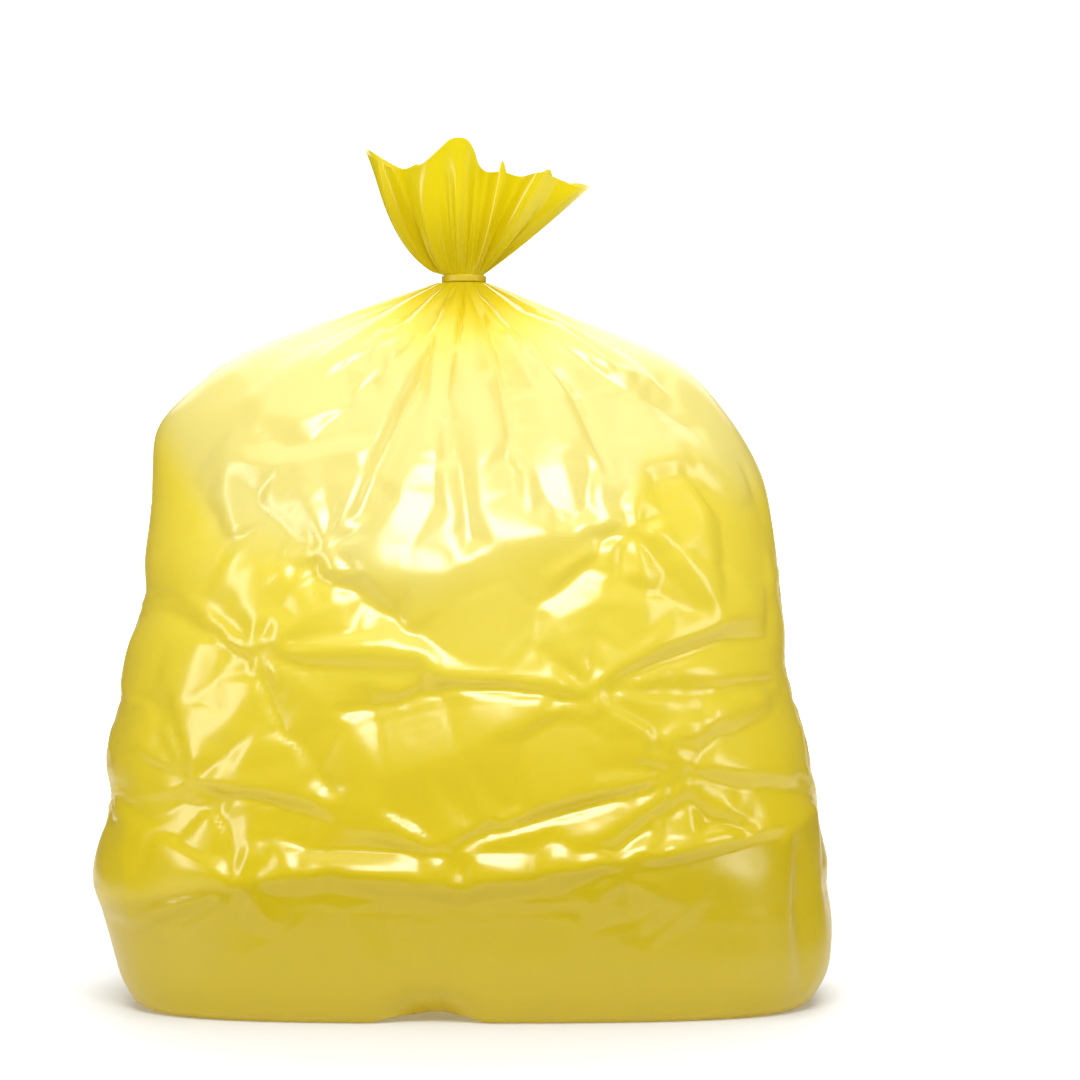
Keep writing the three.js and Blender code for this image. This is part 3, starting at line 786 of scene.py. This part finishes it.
def base_rows(edge):
    """Rows that close the flat base, from its middle out to the edge row."""
    shares = (np.arange(1, BASE_ROWS + 1) / (BASE_ROWS + BASE_EDGE_GAP)) ** BASE_CROWDING
    rows = edge[None] * shares[:, None, None]
    rows[:, :, 2] = BASE_HEIGHT + base_lift(rows[:, :, 0], rows[:, :, 1])
    return rows


def material(name, colour, roughness):
    """A plain material."""
    made = bpy.data.materials.new(name)
    made.use_nodes = True
    shader = made.node_tree.nodes["Principled BSDF"]
    shader.inputs["Base Color"].default_value = (*colour, 1)
    shader.inputs["Roughness"].default_value = roughness
    return made


def film_material(name):
    """Thin glossy film coloured by painted shade and glow, with fine crinkles. Some of the light shines
    through it.
    """
    made = bpy.data.materials.new(name)
    made.use_nodes = True
    nodes, links = made.node_tree.nodes, made.node_tree.links
    gloss = nodes["Principled BSDF"]
    # The base colour follows the painted light stored on the film: painted shade low down, painted glow and
    # sheen up high.
    fill_and_painted_share = nodes.new("ShaderNodeAttribute")
    fill_and_painted_share.attribute_name = "fill_and_painted_light"
    painted_light_ramp = nodes.new("ShaderNodeValToRGB")
    for share, _ in FILM_COLOURS_WITH_PAINTED_LIGHT[1:-1]:
        painted_light_ramp.color_ramp.elements.new(share)
    for stop, (share, colour) in zip(painted_light_ramp.color_ramp.elements, FILM_COLOURS_WITH_PAINTED_LIGHT):
        stop.position = share
        stop.color = (*colour, 1)
    links.new(fill_and_painted_share.outputs["Fac"], painted_light_ramp.inputs[0])
    links.new(painted_light_ramp.outputs[0], gloss.inputs["Base Color"])
    place = nodes.new("ShaderNodeTexCoord")
    crinkle = nodes.new("ShaderNodeTexNoise")
    crinkle.inputs["Scale"].default_value = CRINKLE_SCALE
    crinkle.inputs["Detail"].default_value = CRINKLE_DETAIL
    bump = nodes.new("ShaderNodeBump")
    bump.inputs["Strength"].default_value = CRINKLE_STRENGTH
    bump.inputs["Distance"].default_value = CRINKLE_DEPTH
    links.new(place.outputs["Object"], crinkle.inputs["Vector"])
    links.new(crinkle.outputs[0], bump.inputs["Height"])
    links.new(bump.outputs[0], gloss.inputs["Normal"])
    gloss.inputs["Roughness"].default_value = FILM_ROUGHNESS
    gloss.inputs["Specular IOR Level"].default_value = FILM_SPECULAR
    gloss.inputs["Coat Weight"].default_value = 1.0
    gloss.inputs["Coat IOR"].default_value = COAT_IOR
    gloss.inputs["Coat Roughness"].default_value = COAT_ROUGHNESS
    through = nodes.new("ShaderNodeBsdfTranslucent")
    through.inputs["Color"].default_value = (*SHINE_THROUGH_COLOUR, 1)
    mix = nodes.new("ShaderNodeMixShader")
    mix.inputs[0].default_value = SHINE_THROUGH
    links.new(gloss.outputs[0], mix.inputs[1])
    links.new(through.outputs[0], mix.inputs[2])
    links.new(mix.outputs[0], nodes["Material Output"].inputs["Surface"])
    return made


def area_light(name, place, target, size, power):
    """A white soft box at a place, turned to its target."""
    lamp = bpy.data.lights.new(name, "AREA")
    lamp.shape = "RECTANGLE"
    lamp.size, lamp.size_y = size
    lamp.energy = power
    made = bpy.data.objects.new(name, lamp)
    made.location = place
    made.rotation_euler = (Vector(target) - Vector(place)).to_track_quat("-Z", "Y").to_euler()
    bpy.context.scene.collection.objects.link(made)


def make_camera():
    """The photograph's camera."""
    lens = bpy.data.cameras.new("camera")
    lens.sensor_width = SENSOR_MM
    lens.lens = lens.sensor_width * CAMERA_DISTANCE / (2 * MIDDLE_PX * PIXEL)
    made = bpy.data.objects.new("camera", lens)
    made.location = (CAMERA_X, -CAMERA_DISTANCE, CAMERA_Z)
    made.rotation_euler = (math.pi / 2, 0, 0)
    bpy.context.scene.collection.objects.link(made)
    bpy.context.scene.camera = made


def stage_material(name, shade, glow):
    """A grey or white material that also glows a little, as a lit studio ground does."""
    made = material(name, (shade, shade, shade), STAGE_ROUGHNESS)
    shader = made.node_tree.nodes["Principled BSDF"]
    shader.inputs["Emission Color"].default_value = (1, 1, 1, 1)
    shader.inputs["Emission Strength"].default_value = glow
    return made


def stage_piece(name, profile, finish):
    """A wide sheet of the stage that follows a profile of places to the back and up."""
    points = [(side * STAGE_HALF, y, z) for y, z in profile for side in (-1, 1)]
    faces = [(2 * k, 2 * k + 1, 2 * k + 3, 2 * k + 2) for k in range(len(profile) - 1)]
    piece = smooth_piece(name, points, faces)
    piece.data.materials.append(finish)


def make_stage():
    """The world's light, the floor, the backdrop and the lights."""
    world = bpy.data.worlds.new("studio")
    bpy.context.scene.world = world
    world.use_nodes = True
    sky = world.node_tree.nodes["Background"]
    sky.inputs["Color"].default_value = (1, 1, 1, 1)
    sky.inputs["Strength"].default_value = WORLD_STRENGTH
    floor_back = WALL_Y - WALL_BEND
    near = [(FLOOR_FRONT, 0), (FLOOR_MIDDLE, 0)]
    far = [(FLOOR_MIDDLE, 0), (floor_back, 0)]
    bend = [(floor_back + WALL_BEND * math.sin(a), WALL_BEND - WALL_BEND * math.cos(a))
            for a in np.linspace(0, math.pi / 2, WALL_BEND_POINTS)]
    stage_piece("near_floor", near, stage_material("near_floor", FLOOR_SHADE, NEAR_GLOW))
    stage_piece("far_floor", far, stage_material("far_floor", FLOOR_SHADE, FAR_GLOW))
    wall = bend + [(WALL_Y, WALL_TOP)]
    stage_piece("backdrop", wall, stage_material("pale_backdrop", WALL_SHADE, WALL_GLOW))
    for light in LIGHTS:
        area_light(*light)


make_camera()
make_stage()
body, angles = body_net()
tree = BVHTree.FromPolygons(body.reshape(-1, 3).tolist(), net_faces(body))
seen_folds = DOME_FOLDS + LEFT_FOLDS + RIGHT_FOLDS + fan_folds()
folds = [front_fold(tree, body, angles, fold) for fold in seen_folds]
folds += [back_fold(body, angles, fold) for fold in BACK_FOLDS]
folds += back_fan_folds(body, angles) + gather_folds()
outward = normals(body)
facing = OUTLINE_SHARE + (1 - OUTLINE_SHARE) * np.abs(outward[:, :, 1:2])
shaped = body + outward * facing * FOLD_GAIN * facet_field(folds)[:, :, None]
shaped = settled(shaped)
whole = np.vstack([base_rows(body[0]), shaped, ruffle_net(angles)])
film = film_piece("bag_film", whole)
# Stores the film colour's painted light: painted shade low down, painted glow over the empty top.
paint(film, "fill_and_painted_light", fill_and_painted_light(whole))
film.data.materials.append(film_material("yellow_film"))
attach(film, "root")
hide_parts("bag")

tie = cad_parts["neck_tie"]
tie.data.materials.clear()
tie.data.materials.append(material("tie_band", TIE_COLOUR, TIE_ROUGHNESS))

bpy.context.scene.view_settings.view_transform = "Standard"
